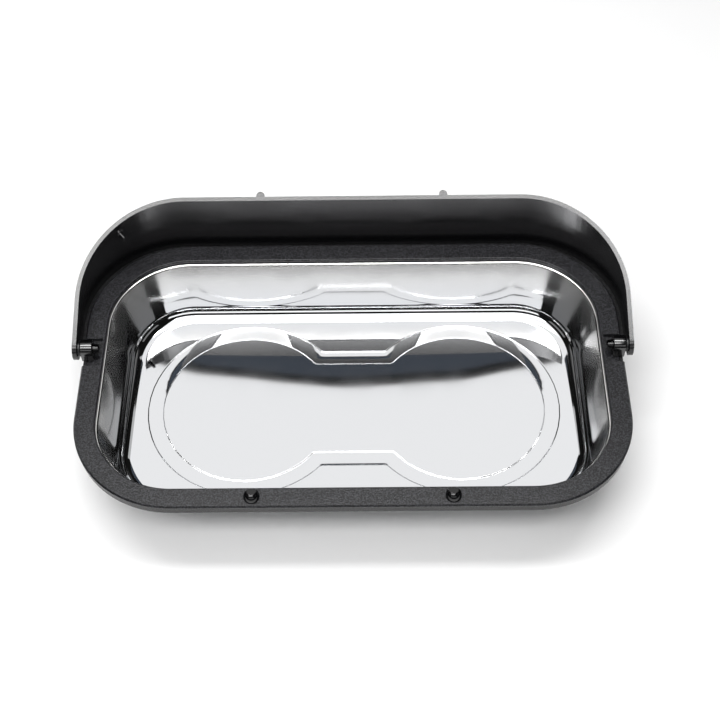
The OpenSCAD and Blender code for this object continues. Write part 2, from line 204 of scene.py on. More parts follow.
@dataclass(frozen=True)
class MouldedPlastic(Finish):
    """Black plastic, moulded in a spark-eroded or a polished tool.

    A spark-eroded tool leaves a fine even grain, drawn as bumps, which breaks a highlight up into sparkle.
    That sparkle is also painted into the colour as pale specks in the black: painted glints. A polished tool
    leaves a clear gloss with only a faint flow mark. Oil adds to the specular.
    """

    tint: str
    # The paler tint of the painted glint specks.
    speck_tint: str
    roughness: float
    roughness_swing: float
    grain_mm: float
    grain_depth_mm: float
    specular: float = 0.5
    ior: float = 1.53
    flow_mm: float = 40.0
    speck_from: float = 0.42
    speck_to: float = 0.64

    def shader(self, tree: bpy.types.NodeTree, coords: bpy.types.NodeSocket) -> bpy.types.Node:
        """Builds the finish's own nodes.

        Args:
            tree: The material's node tree.
            coords: The Object coordinates.

        Returns:
            The shader.
        """
        flow = add_node(tree, "ShaderNodeTexNoise",
                        {"Vector": coords, "Scale": per_metre(self.flow_mm), "Detail": 3.0,
                         "Roughness": 0.55})
        grain = add_node(tree, "ShaderNodeTexNoise",
                         {"Vector": coords, "Scale": per_metre(self.grain_mm), "Detail": 2.0,
                          "Roughness": 0.6})
        # Pale specks where the grain noise is high: painted glints in the colour.
        painted_glint_mask = add_node(tree, "ShaderNodeMapRange",
                         {"Value": grain.outputs[0], "From Min": self.speck_from, "From Max": self.speck_to})
        colour = add_node(tree, "ShaderNodeMix",
                          {0: painted_glint_mask.outputs[0], 6: linear(self.tint), 7: linear(self.speck_tint)},
                          data_type="RGBA")
        rough = add_node(tree, "ShaderNodeMapRange",
                         {"Value": flow.outputs[0], "From Min": NOISE_LOW, "From Max": NOISE_HIGH,
                          "To Min": self.roughness - self.roughness_swing,
                          "To Max": self.roughness + self.roughness_swing})
        bump = add_node(tree, "ShaderNodeBump",
                        {"Strength": 1.0, "Distance": self.grain_depth_mm * MM, "Height": grain.outputs[0]})
        return add_node(tree, "ShaderNodeBsdfPrincipled",
                        {"Base Color": colour.outputs[2], "Roughness": rough.outputs[0], "IOR": self.ior,
                         "Specular IOR Level": self.specular, "Normal": bump.outputs[0]})


@dataclass(frozen=True)
class PolishedStainless(Finish):
    """Stainless sheet, deep drawn and then buffed bright.

    The flat floor keeps the rolled sheet's mirror. Drawing stretches the walls, most of all near the lip, and
    leaves them softer there, so that what they show is blurred. Pressing leaves the sheet very slightly
    uneven and sprung, so that straight edges bend in it.
    """

    name: str = "stainless_sheet_buffed"
    tint: str = "#e2e3e5"
    drawn_tint: str = "#e0dfdd"
    floor_roughness: float = 0.04
    lip_roughness: float = 0.20
    soft_from_z: float = 15.0
    soft_to_z: float = 38.0
    wave_mm: float = 60.0
    wave_depth_mm: float = 0.10
    spring_per_m2: float = 1.5
    smear_mm: float = 14.0
    smear_swing: float = 0.15

    def shader(self, tree: bpy.types.NodeTree, coords: bpy.types.NodeSocket) -> bpy.types.Node:
        """Builds the finish's own nodes.

        Args:
            tree: The material's node tree.
            coords: The Object coordinates.

        Returns:
            The shader.
        """
        place = add_node(tree, "ShaderNodeSeparateXYZ", {0: coords})
        drawn = add_node(tree, "ShaderNodeMapRange",
                         {"Value": place.outputs["Z"], "From Min": self.soft_from_z * MM,
                          "From Max": self.soft_to_z * MM})
        wave = add_node(tree, "ShaderNodeTexNoise",
                        {"Vector": coords, "Scale": per_metre(self.wave_mm), "Detail": 1.0, "Roughness": 0.4})
        smear = add_node(tree, "ShaderNodeTexNoise",
                         {"Vector": coords, "Scale": per_metre(self.smear_mm), "Detail": 1.0,
                          "Roughness": 0.5})
        base = add_node(tree, "ShaderNodeMapRange",
                        {"Value": drawn.outputs[0], "To Min": self.floor_roughness,
                         "To Max": self.lip_roughness})
        swing = add_node(tree, "ShaderNodeMapRange",
                         {"Value": smear.outputs[0], "From Min": NOISE_LOW, "From Max": NOISE_HIGH,
                          "To Min": 1.0 - self.smear_swing, "To Max": 1.0 + self.smear_swing})
        rough = add_node(tree, "ShaderNodeMath", {0: base.outputs[0], 1: swing.outputs[0]},
                         operation="MULTIPLY")
        colour = add_node(tree, "ShaderNodeMix",
                          {0: drawn.outputs[0], 6: linear(self.tint), 7: linear(self.drawn_tint)},
                          data_type="RGBA")
        dent = add_node(tree, "ShaderNodeMath", {0: wave.outputs[0], 1: self.wave_depth_mm * MM},
                        operation="MULTIPLY")
        square = add_node(tree, "ShaderNodeMath", {0: place.outputs["X"], 1: place.outputs["X"]},
                          operation="MULTIPLY")
        twist = add_node(tree, "ShaderNodeMath", {0: square.outputs[0], 1: place.outputs["Y"]},
                         operation="MULTIPLY")
        height = add_node(tree, "ShaderNodeMath",
                          {0: twist.outputs[0], 1: self.spring_per_m2, 2: dent.outputs[0]},
                          operation="MULTIPLY_ADD")
        uneven = add_node(tree, "ShaderNodeBump",
                          {"Strength": 1.0, "Distance": 1.0, "Height": height.outputs[0]})
        return add_node(tree, "ShaderNodeBsdfPrincipled",
                        {"Base Color": colour.outputs[2], "Metallic": 1.0, "Roughness": rough.outputs[0],
                         "Normal": uneven.outputs[0]})


@dataclass(frozen=True)
class PlatedSteel(Finish):
    """Mild steel with a thin zinc coat: a cloudy grey metal with spangles and a few duller patches."""

    tint: str
    dull_tint: str
    roughness: float = 0.34
    spangle_mm: float = 2.2
    swing: float = 0.11
    spangles_per_cloud: float = 4.0

    def shader(self, tree: bpy.types.NodeTree, coords: bpy.types.NodeSocket) -> bpy.types.Node:
        """Builds the finish's own nodes.

        Args:
            tree: The material's node tree.
            coords: The Object coordinates.

        Returns:
            The shader.
        """
        cloud_mm = self.spangle_mm * self.spangles_per_cloud
        spangle = add_node(tree, "ShaderNodeTexVoronoi",
                           {"Vector": coords, "Scale": per_metre(self.spangle_mm), "Randomness": 1.0})
        cloud = add_node(tree, "ShaderNodeTexNoise",
                         {"Vector": coords, "Scale": per_metre(cloud_mm), "Detail": 4.0})
        colour = add_node(tree, "ShaderNodeMix",
                          {0: cloud.outputs[0], 6: linear(self.tint), 7: linear(self.dull_tint)},
                          data_type="RGBA")
        rough = add_node(tree, "ShaderNodeMapRange",
                         {"Value": spangle.outputs["Distance"], "To Min": self.roughness - self.swing,
                          "To Max": self.roughness + self.swing})
        return add_node(tree, "ShaderNodeBsdfPrincipled",
                        {"Base Color": colour.outputs[2], "Metallic": 1.0, "Roughness": rough.outputs[0]})


@dataclass(frozen=True)
class MattePowder(Finish):
    """A dense dark solid with a dull ground or moulded skin: pressed rubber, or sintered ferrite."""

    tint: str
    dusty_tint: str
    roughness: float
    grain_mm: float
    grain_depth_mm: float
    ior: float
    dust_mm: float = 18.0
    dust_from: float = 0.45
    dust_to: float = 0.75

    def shader(self, tree: bpy.types.NodeTree, coords: bpy.types.NodeSocket) -> bpy.types.Node:
        """Builds the finish's own nodes.

        Args:
            tree: The material's node tree.
            coords: The Object coordinates.

        Returns:
            The shader.
        """
        dust = add_node(tree, "ShaderNodeTexNoise",
                        {"Vector": coords, "Scale": per_metre(self.dust_mm), "Detail": 5.0,
                         "Roughness": 0.65})
        grain = add_node(tree, "ShaderNodeTexNoise",
                         {"Vector": coords, "Scale": per_metre(self.grain_mm), "Detail": 3.0})
        share = add_node(tree, "ShaderNodeMapRange",
                         {"Value": dust.outputs[0], "From Min": self.dust_from, "From Max": self.dust_to})
        colour = add_node(tree, "ShaderNodeMix",
                          {0: share.outputs[0], 6: linear(self.tint), 7: linear(self.dusty_tint)},
                          data_type="RGBA")
        bump = add_node(tree, "ShaderNodeBump",
                        {"Strength": 1.0, "Distance": self.grain_depth_mm * MM, "Height": grain.outputs[0]})
        return add_node(tree, "ShaderNodeBsdfPrincipled",
                        {"Base Color": colour.outputs[2], "Roughness": self.roughness, "IOR": self.ior,
                         "Normal": bump.outputs[0]})


@dataclass(frozen=True)
class StudioPaper(Finish):
    """White background paper, very faintly cloudy, which takes soft shadows and shows no gloss."""

    name: str = "pale_paper_floor"
    tint: str = "#f4f4f4"
    cloud_tint: str = "#f8f8f8"
    cloud_mm: float = 300.0
    roughness: float = 0.9
    specular: float = 0.1

    def shader(self, tree: bpy.types.NodeTree, coords: bpy.types.NodeSocket) -> bpy.types.Node:
        """Builds the finish's own nodes.

        Args:
            tree: The material's node tree.
            coords: The Object coordinates.

        Returns:
            The shader.
        """
        cloud = add_node(tree, "ShaderNodeTexNoise",
                         {"Vector": coords, "Scale": per_metre(self.cloud_mm), "Detail": 2.0})
        colour = add_node(tree, "ShaderNodeMix",
                          {0: cloud.outputs[0], 6: linear(self.tint), 7: linear(self.cloud_tint)},
                          data_type="RGBA")
        return add_node(tree, "ShaderNodeBsdfPrincipled",
                        {"Base Color": colour.outputs[2], "Roughness": self.roughness,
                         "Specular IOR Level": self.specular})


class Finishes:
    """All the tray's materials, made once each."""

    def __init__(self) -> None:
        """Makes the materials."""
        self.steel = PolishedStainless().material()
        # The spark grain is really about 0.3 mm. It is drawn at 0.7 mm, because the picture has 2 pixels to a
        # millimetre.
        # Each plastic's second, paler tint colours its painted glint specks.
        self.rim = MouldedPlastic(
            "abs_spark_grain_rim", "#010102", "#303034", 0.32, 0.03, 0.7, 0.12, specular=0.4).material()
        self.ring = MouldedPlastic(
            "abs_spark_grain_ring", "#020202", "#262628", 0.36, 0.03, 0.7, 0.10, specular=0.35).material()
        self.handle = MouldedPlastic(
            "abs_spark_grain_handle", "#060607", "#18181a", 0.22, 0.02, 0.7, 0.03, specular=0.6).material()
        self.gloss = MouldedPlastic(
            "acetal_polished_tool", "#060607", "#0b0b0c", 0.12, 0.02, 2.5, 0.001).material()
        self.barrel = MouldedPlastic(
            "acetal_oiled_barrel", "#060607", "#0b0b0c", 0.14, 0.02, 2.5, 0.001, specular=0.9).material()
        self.washer = MouldedPlastic(
            "acetal_satin_washer", "#0c0c0d", "#161618", 0.34, 0.05, 1.2, 0.004).material()
        self.screw = PlatedSteel("zinc_plated_screw", "#b9bcc0", "#8f9296").material()
        self.stud = PlatedSteel("plain_steel_stud", "#a8a5a0", "#7d7a76", 0.42).material()
        self.zinc = PlatedSteel("zinc_plated_nut", "#bcc0c4", "#93979b").material()
        self.cup = PlatedSteel("zinc_plated_cup", "#a9adb1", "#85898d", 0.38, 4.0).material()
        # The grain of ferrite and of rubber, about 0.2 mm, is drawn coarser for the same reason.
        self.ferrite = MattePowder(
            "sintered_ferrite", "#2b2b2c", "#3d3c3a", 0.62, 0.8, 0.03, 1.8).material()
        self.rubber = MattePowder(
            "pressed_nitrile_rubber", "#161617", "#2a2928", 0.68, 1.1, 0.04, 1.52).material()


def finish_mesh(mesh: bpy.types.Mesh, sharp_deg: float) -> None:
    """Shades a mesh smooth up to an angle.

    Args:
        mesh: The mesh.
        sharp_deg: Edges that turn by more than this stay sharp.
    """
    mesh.polygons.foreach_set("use_smooth", [True] * len(mesh.polygons))
    mesh.set_sharp_from_angle(angle=math.radians(sharp_deg))
    mesh.update()


def mesh_of(form: bmesh.types.BMesh, name: str) -> bpy.types.Mesh:
    """Writes a finished form into a new mesh and frees it.

    Args:
        form: The form.
        name: The mesh's name.

    Returns:
        The new mesh.
    """
    mesh = bpy.data.meshes.new(name)
    form.to_mesh(mesh)
    form.free()
    return mesh


def new_object(name: str, mesh: bpy.types.Mesh) -> bpy.types.Object:
    """Puts a mesh into the scene as an object at the origin.

    Args:
        name: The object's name.
        mesh: Its mesh, in metres.

    Returns:
        The new object.
    """
    piece = bpy.data.objects.new(name, mesh)
    bpy.context.scene.collection.objects.link(piece)
    return piece


def bake(piece: bpy.types.Object) -> None:
    """Turns an object's modifiers into a plain mesh and removes them.

    Args:
        piece: The object, which keeps its name and its materials.
    """
    bpy.context.view_layer.update()
    graph = bpy.context.evaluated_depsgraph_get()
    mesh = bpy.data.meshes.new_from_object(piece.evaluated_get(graph))
    piece.modifiers.clear()
    piece.data = mesh
    mesh.name = piece.name


def dress(piece: bpy.types.Object, material: bpy.types.Material) -> None:
    """Gives an object one material.

    Args:
        piece: The object.
        material: The only material it keeps.
    """
    piece.data.materials.clear()
    piece.data.materials.append(material)


def hand_over(piece: bpy.types.Object, material: bpy.types.Material, body: Body,
              node: str) -> None:
    """Dresses a piece, and tells the frame which body it rides on and which solid it stands for.

    Args:
        piece: The finished piece.
        material: Its material.
        body: The body it moves with.
        node: The solid that it stands for.
    """
    dress(piece, material)
    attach(piece, body.value)
    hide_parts(node)
    LOG.info("%s: %d faces", piece.name, len(piece.data.polygons))


def arc(centre: Point2, radius: float, start_deg: float, end_deg: float,
        steps: int = 4) -> list[Point2]:
    """Gives points on an arc.

    Args:
        centre: The arc's centre.
        radius: Its radius.
        start_deg: The first point's angle.
        end_deg: The last point's angle.
        steps: The number of steps between them.

    Returns:
        The points, both ends included.
    """
    points = []
    for step in range(steps + 1):
        turn = math.radians(start_deg + (end_deg - start_deg) * step / steps)
        points.append((centre[0] + radius * math.cos(turn), centre[1] + radius * math.sin(turn)))
    return points


def softened(corners: Sequence[Point3], steps: int = 5) -> list[Point2]:
    """Rounds the corners of a closed section.

    Args:
        corners: Each corner's two coordinates and its radius.
        steps: The number of steps in each round.

    Returns:
        The rounded section's points, in the same order.
    """
    points: list[Point2] = []
    count = len(corners)
    for index, (x, y, radius) in enumerate(corners):
        here = Vector((x, y))
        before = (Vector(corners[index - 1][:2]) - here).normalized()
        after = (Vector(corners[(index + 1) % count][:2]) - here).normalized()
        if radius <= 0:
            points.append((x, y))
            continue
        half = before.angle(after) / 2
        middle = here + (before + after).normalized() * (radius / math.sin(half))
        first = here + before * (radius / math.tan(half)) - middle
        last = here + after * (radius / math.tan(half)) - middle
        sweep = first.angle_signed(last)
        for step in range(steps + 1):
            spun = Matrix.Rotation(-sweep * step / steps, 2) @ first
            points.append((middle.x + spun.x, middle.y + spun.y))
    return points


@dataclass
class SteelDish:
    """The pressed dish: flange, rolled lip, drafted wall, round foot, and a bead pressed into the floor.

    A support loop beside each bend keeps the flats' shading flat.
    """

    mouth_half_w: float = 111.7
    mouth_half_d: float = 61.7
    mouth_r: float = 35.7
    flange_w: float = 3.9
    flange_z: float = FLANGE_Z
    floor_z: float = 9.1
    sheet: float = 0.8
    lip_r: float = 1.0
    draft_deg: float = 12.0
    foot_r: float = 7.0
    circle_x: float = 49.0
    circle_r: float = 39.36
    waist: float = 24.5
    waist_r: float = 2.8
    bead_w: float = 7.0
    bead_depth: float = 0.3
    ramp: float = 0.55
    support: float = 0.25
    lip_steps: int = 12
    foot_steps: int = 20
    corner_steps: int = 40
    circle_steps: int = 22
    waist_steps: int = 10
    ramp_steps: int = 12
    wall_shares: tuple[float, ...] = (0.0, 0.33, 0.67, 1.0)
    end_shares: tuple[float, ...] = (0.0, 0.25, 0.5, 0.75, 0.96)
    back_shares: tuple[float, ...] = (0.04, 0.25, 0.5, 0.75, 1.0)
    waist_shares: tuple[float, ...] = (0.94, 0.6, 0.3, 0.0)
    floor_shares: tuple[float, ...] = (0.15, 0.6)
    sharp_deg: float = 60.0

    def side_profile(self, inset: float) -> list[Point2]:
        """Gives one face of the sheet's section, from the flange's edge to the floor's edge.

        Args:
            inset: How far the face lies below the upper face.

        Returns:
            A list of (distance out from the mouth's outline, height).
        """
        tilt = math.radians(self.draft_deg)
        lip = (0.0, self.flange_z - self.lip_r)
        lip_end = (-self.lip_r * math.cos(tilt), lip[1] + self.lip_r * math.sin(tilt))
        foot_z = self.floor_z + self.foot_r * (1 - math.sin(tilt))
        foot_x = lip_end[0] - (lip_end[1] - foot_z) * math.tan(tilt)
        heel = (foot_x - self.foot_r * math.cos(tilt), foot_z + self.foot_r * math.sin(tilt))
        lip_arc = arc(lip, self.lip_r - inset, 90, 180 - self.draft_deg, self.lip_steps)
        foot_arc = arc(heel, self.foot_r + inset, -self.draft_deg, -90, self.foot_steps)
        down = Vector((-math.sin(tilt), -math.cos(tilt))) * self.support
        wall_top = Vector(lip_arc[-1]) + down
        wall_end = Vector(foot_arc[0]) - down
        wall = [tuple(wall_top.lerp(wall_end, share)) for share in self.wall_shares]
        flange_z = self.flange_z - inset
        return [(self.flange_w, flange_z), (self.support, flange_z), *lip_arc, *wall, *foot_arc]

    def mouth_edge(self) -> list[Place]:
        """Gives the mouth's outline from the right-hand end to over the circle's middle.

        Returns:
            Each station's point and outward normal.
        """
        corner = (self.mouth_half_w - self.mouth_r, self.mouth_half_d - self.mouth_r)
        edge: list[Place] = []
        for share in self.end_shares:
            edge.append(((self.mouth_half_w, corner[1] * share), (1.0, 0.0)))
        for normal in arc((0, 0), 1.0, 0, 90, self.corner_steps):
            place = (corner[0] + self.mouth_r * normal[0], corner[1] + self.mouth_r * normal[1])
            edge.append((place, normal))
        for share in self.back_shares:
            edge.append(((corner[0] + (self.circle_x - corner[0]) * share, self.mouth_half_d), (0.0, 1.0)))
        return edge

    def bead_edge(self, grow: float, turns: Sequence[float]) -> list[Place]:
        """Gives one edge of the bead over the first quarter: the circle, the waist's corner, then the waist.

        Args:
            grow: How far the edge lies outside the bead's inner edge.
            turns: The angles of the first stations round the circle, in radians.

        Returns:
            Each station's point and outward normal.
        """
        radius = self.circle_r + grow
        rise = self.waist + grow + self.waist_r
        reach = radius + self.waist_r
        heart = (self.circle_x - math.sqrt(reach * reach - rise * rise), rise)
        last = math.atan2(rise, heart[0] - self.circle_x)
        rest = [math.pi / 2 + (last - math.pi / 2) * step / self.circle_steps
                for step in range(1, self.circle_steps + 1)]
        edge: list[Place] = []
        for turn in (*turns, *rest):
            normal = (math.cos(turn), math.sin(turn))
            edge.append(((self.circle_x + radius * normal[0], radius * normal[1]), normal))
        for step in range(1, self.waist_steps + 1):
            turn = last + (math.pi / 2 - last) * step / self.waist_steps
            normal = (math.cos(turn), math.sin(turn))
            edge.append(((heart[0] - self.waist_r * normal[0], heart[1] - self.waist_r * normal[1]), normal))
        for share in self.waist_shares:
            edge.append(((heart[0] * share, self.waist + grow), (0.0, 1.0)))
        return edge

    def stations(self, floor_out: float) -> tuple[list[Place], list[Place], list[Place]]:
        """Pairs the mouth's outline with the bead's two edges, over the first quarter.

        Args:
            floor_out: The floor edge's distance from the mouth's outline.

        Returns:
            The mouth's edge, the bead's outer edge and its inner edge, with the same number of stations.
        """
        mouth = self.mouth_edge()
        turns = []
        for place, normal in mouth:
            floor_edge = (place[0] + floor_out * normal[0], place[1] + floor_out * normal[1])
            turns.append(math.atan2(floor_edge[1], floor_edge[0] - self.circle_x))
        outer = self.bead_edge(self.bead_w, turns)
        inner = self.bead_edge(0.0, turns)
        for place, _ in outer[len(turns):]:
            mouth.append(((place[0], self.mouth_half_d), (0.0, 1.0)))
        return mouth, outer, inner

    @staticmethod
    def loop(edge: Sequence[Place], out: float, height: float) -> list[Point3]:
        """Gives a closed loop of points all round, from the first quarter of an edge.

        Args:
            edge: The quarter's points and normals, both axes included.
            out: How far the loop lies outside the edge.
            height: The loop's height.

        Returns:
            The loop's points.
        """
        quarter = [(place[0] + out * normal[0], place[1] + out * normal[1]) for place, normal in edge]
        back = quarter + [(-x, y) for x, y in reversed(quarter[:-1])]
        front = [(x, -y) for x, y in reversed(back[1:-1])]
        return [(x, y, height) for x, y in back + front]

    def rings(self, inset: float) -> list[list[Point3]]:
        """Gives one face's loops, from the flange's edge to the flat inside the bead.

        Args:
            inset: How far the face lies below the upper face.

        Returns:
            The loops, each with the same number of points.
        """
        section = self.side_profile(inset)
        floor_z = self.floor_z - inset
        mouth, outer, inner = self.stations(section[-1][0])
        found = [self.loop(mouth, *point) for point in section]
        found.append(self.loop(mouth, section[-1][0] - self.support, floor_z))
        floor_edge = found[-1]
        half = self.ramp / 2
        bead_start = self.loop(outer, half + self.support, floor_z)
        for share in self.floor_shares:
            found.append([tuple(Vector(a).lerp(Vector(b), share)) for a, b in zip(floor_edge, bead_start)])
        found.append(bead_start)
        fall = []
        for step in range(self.ramp_steps + 1):
            share = step / self.ramp_steps
            fall.append((half - self.ramp * share, self.bead_depth * (0.5 - 0.5 * math.cos(math.pi * share))))
        found += [self.loop(outer, out, floor_z - depth) for out, depth in fall]
        found += [self.loop(inner, -out, floor_z - depth) for out, depth in reversed(fall)]
        found.append(self.loop(inner, -half - self.support, floor_z))
        return found

    def mesh(self) -> bpy.types.Mesh:
        """Builds the closed sheet.

        Returns:
            The mesh, in metres.
        """
        upper = self.rings(0.0)
        rings = upper + self.rings(self.sheet)[::-1]
        form = bmesh.new()
        verts = []
        for ring in rings:
            verts.append([form.verts.new((x * MM, (y + TRAY_Y) * MM, z * MM)) for x, y, z in ring])
        count = len(upper[0])
        last_upper = len(upper) - 1
        for number in range(len(rings)):
            if number == last_upper:
                continue
            here, there = verts[number], verts[(number + 1) % len(rings)]
            for index in range(count):
                after = (index + 1) % count
                form.faces.new((here[index], here[after], there[after], there[index]))
        self.close_floor(form, verts[last_upper])
        self.close_floor(form, verts[last_upper + 1][::-1])
        bmesh.ops.recalc_face_normals(form, faces=form.faces)
        return mesh_of(form, "dish_sheet")

    @staticmethod
    def close_floor(form: bmesh.types.BMesh, ring: list[bmesh.types.BMVert]) -> None:
        """Fills the flat floor inside the bead with strips from the back half to the front half.

        Args:
            form: The mesh being built.
            ring: The innermost loop's vertices, which start on the long axis.
        """
        count = len(ring)
        for index in range(count // 2):
            strip = (ring[index], ring[index + 1], ring[count - index - 1], ring[(count - index) % count])
            form.faces.new([vert for place, vert in enumerate(strip) if vert not in strip[:place]])

    def build(self, finishes: Finishes) -> None:
        """Makes the piece and hands it over.

        Args:
            finishes: The tray's materials.
        """
        mesh = self.mesh()
        finish_mesh(mesh, self.sharp_deg)
        piece = new_object("dish_sheet", mesh)
        hand_over(piece, finishes.steel, Body.TRAY, "steel_dish")


class PieceTree:
    """A Geometry Nodes tree with named inputs, which ends in one real and dressed mesh."""

    def __init__(self, name: str, inputs: Sequence[tuple[str, str]]) -> None:
        """Makes the tree's sockets.

        Args:
            name: The tree's name.
            inputs: Each input's name and socket type, without the base mesh and the material.
        """
        self.tree = bpy.data.node_groups.new(name, "GeometryNodeTree")
        face = self.tree.interface
        face.new_socket("Base", in_out="INPUT", socket_type="NodeSocketGeometry")
        self.keys = []
        for label, kind in (*inputs, ("Material", "NodeSocketMaterial")):
            self.keys.append(face.new_socket(label, in_out="INPUT", socket_type=kind).identifier)
        face.new_socket("Piece", in_out="OUTPUT", socket_type="NodeSocketGeometry")
        self.given = add_node(self.tree, "NodeGroupInput")

    def close(self, shape: bpy.types.Node) -> None:
        """Makes the shape real, dresses it and links it to the tree's output.

        Args:
            shape: The node that makes the shape.
        """
        real = add_node(self.tree, "GeometryNodeRealizeInstances", {0: shape.outputs[0]})
        dressed = add_node(self.tree, "GeometryNodeSetMaterial",
                           {"Geometry": real.outputs[0], "Material": self.given.outputs["Material"]})
        add_node(self.tree, "NodeGroupOutput", {0: dressed.outputs[0]})

    def run(self, piece: bpy.types.Object, values: Iterable[Any]) -> None:
        """Runs the tree on an object's own mesh and bakes the result.

        Args:
            piece: The object.
            values: One value for each input, with the material last.
        """
        modifier = piece.modifiers.new("tree", "NODES")
        modifier.node_group = self.tree
        for key, value in zip(self.keys, values):
            modifier[key] = value
        bake(piece)


class SweepTree(PieceTree):
    """Sweeps the object's own outline of edges round a rounded rectangle."""

    CORNER_STEPS = 40

    def __init__(self) -> None:
        """Builds the tree."""
        lengths = [(label, "NodeSocketFloat") for label in ("Width", "Depth", "Corner")]
        super().__init__("sweep_round_rim", lengths)
        given = self.given.outputs
        section = add_node(self.tree, "GeometryNodeMeshToCurve", {0: given["Base"]})
        path = add_node(self.tree, "GeometryNodeCurvePrimitiveQuadrilateral",
                        {"Width": given["Width"], "Height": given["Depth"]})
        bent = add_node(self.tree, "GeometryNodeFilletCurve",
                        {"Curve": path.outputs[0], "Radius": given["Corner"], "Count": self.CORNER_STEPS},
                        mode="POLY")
        swept = add_node(self.tree, "GeometryNodeCurveToMesh",
                         {"Curve": bent.outputs[0], "Profile Curve": section.outputs[0]})
        self.close(swept)

    def sweep(self, name: str, section: Sequence[Point2], size: Point3,
              material: bpy.types.Material) -> bpy.types.Object:
        """Sweeps one section and bakes it.

        Args:
            name: The piece's name.
            section: The closed section: distance out from the outline, and height.
            size: The outline's width, depth and corner radius.
            material: The piece's material.

        Returns:
            The piece, in the tray's place.
        """
        outline = bpy.data.meshes.new(name)
        count = len(section)
        points = [(out * MM, -height * MM, 0.0) for out, height in section]
        outline.from_pydata(points, [(i, (i + 1) % count) for i in range(count)], [])
        piece = new_object(name, outline)
        self.run(piece, (*(length * MM for length in size), material))
        form = bmesh.new()
        form.from_mesh(piece.data)
        bmesh.ops.remove_doubles(form, verts=form.verts, dist=SEAM * MM)
        bmesh.ops.translate(form, verts=form.verts, vec=(0, TRAY_Y * MM, 0))
        bmesh.ops.recalc_face_normals(form, faces=form.faces)
        form.to_mesh(piece.data)
        form.free()
        return piece


class ScrewTree(PieceTree):
    """Puts one screw at each of the object's own points, each turned by an angle of its own."""

    SEED = 7

    def __init__(self) -> None:
        """Builds the tree."""
        super().__init__("screws_at_points", [("Screw", "NodeSocketObject")])
        given = self.given.outputs
        screw = add_node(self.tree, "GeometryNodeObjectInfo", {"Object": given["Screw"]})
        turns = add_node(self.tree, "FunctionNodeRandomValue",
                         {"Max": (0.0, 0.0, math.pi), "Seed": self.SEED}, data_type="FLOAT_VECTOR")
        spread = add_node(self.tree, "GeometryNodeInstanceOnPoints",
                          {"Points": given["Base"], "Instance": screw.outputs["Geometry"],
                           "Rotation": turns.outputs[0]})
        self.close(spread)


def block(low: Point3, high: Point3) -> bpy.types.Object:
    """Makes a helper box for a cut or a join.

    Args:
        low: Its lowest corner, in the tray's place.
        high: Its highest corner.

    Returns:
        The helper object.
    """
    form = bmesh.new()
    bmesh.ops.create_cube(form, size=1.0)
    for vert in form.verts:
        share = [coordinate + 0.5 for coordinate in vert.co]
        place = [a + (b - a) * t for a, b, t in zip(low, high, share)]
        vert.co = (place[0] * MM, (place[1] + TRAY_Y) * MM, place[2] * MM)
    return new_object("helper_block", mesh_of(form, "helper_block"))


def merge(piece: bpy.types.Object, helpers: Sequence[bpy.types.Object], operation: Operation) -> None:
    """Runs helpers against a piece with booleans and removes them.

    Args:
        piece: The piece that changes.
        helpers: The helper objects.
        operation: What the helpers do to it.
    """
    for helper in helpers:
        modifier = piece.modifiers.new("merge", "BOOLEAN")
        modifier.operation = operation.value
        modifier.solver = "EXACT"
        modifier.object = helper
    bake(piece)
    for helper in helpers:
        bpy.data.objects.remove(helper)


def ease(piece: bpy.types.Object, width: float, limit_deg: float, steps: int = 3) -> None:
    """Rounds a piece's sharp edges and bakes the result.

    Args:
        piece: The piece.
        width: The width of the rounding.
        limit_deg: Only edges that turn by more than this are rounded.
        steps: The number of faces across the rounding.
    """
    bevel = piece.modifiers.new("ease", "BEVEL")
    bevel.width = width * MM
    bevel.segments = steps
    bevel.limit_method = "ANGLE"
    bevel.angle_limit = math.radians(limit_deg)
    bevel.use_clamp_overlap = True
    flats = piece.modifiers.new("flats", "WEIGHTED_NORMAL")
    flats.weight = 100
    flats.keep_sharp = True
    piece.data.polygons.foreach_set("use_smooth", [True] * len(piece.data.polygons))
    bake(piece)


def turned(name: str, outline: Sequence[Point2], steps: int = 64) -> bpy.types.Object:
    """Turns an outline round Z into a closed solid, as on a lathe.

    Args:
        name: The object's name.
        outline: Pairs of radius and height, whose first and last radius is 0.
        steps: The number of steps round the axis.

    Returns:
        The new object, in millimetres.
    """
    form = bmesh.new()
    verts = [form.verts.new((out, 0.0, height)) for out, height in outline]
    for first, second in zip(verts, verts[1:]):
        form.edges.new((first, second))
    bmesh.ops.spin(form, geom=form.verts[:] + form.edges[:], axis=UP, cent=(0, 0, 0), angle=math.tau,
                   steps=steps)
    bmesh.ops.remove_doubles(form, verts=form.verts, dist=SEAM)
    bmesh.ops.recalc_face_normals(form, faces=form.faces)
    return new_object(name, mesh_of(form, name))


def put(piece: bpy.types.Object, place: Point3, along: Vector) -> bpy.types.Object:
    """Moves a turned piece's mesh to its place in the tray, in metres.

    Args:
        piece: The piece, in millimetres, with its axis on Z.
        place: The place of its origin in the tray's own frame.
        along: The direction that its axis takes.

    Returns:
        The same piece.
    """
    turn = UP.rotation_difference(along).to_matrix().to_4x4()
    shift = Matrix.Translation((place[0] * MM, (place[1] + TRAY_Y) * MM, place[2] * MM))
    piece.data.transform(shift @ Matrix.Scale(MM, 4) @ turn)
    return piece


def bar(length: float, radius: float, rounding: float) -> list[Point2]:
    """Gives the outline of a round bar with rounded ends, for turning.

    Args:
        length: The bar's length, up from height 0.
        radius: Its radius.
        rounding: The radius of its two end edges.

    Returns:
        The outline.
    """
    outline = [(0.0, 0.0), *arc((radius - rounding, rounding), rounding, -90, 0, steps=5)]
    return outline + [*arc((radius - rounding, length - rounding), rounding, 0, 90, steps=5), (0.0, length)]


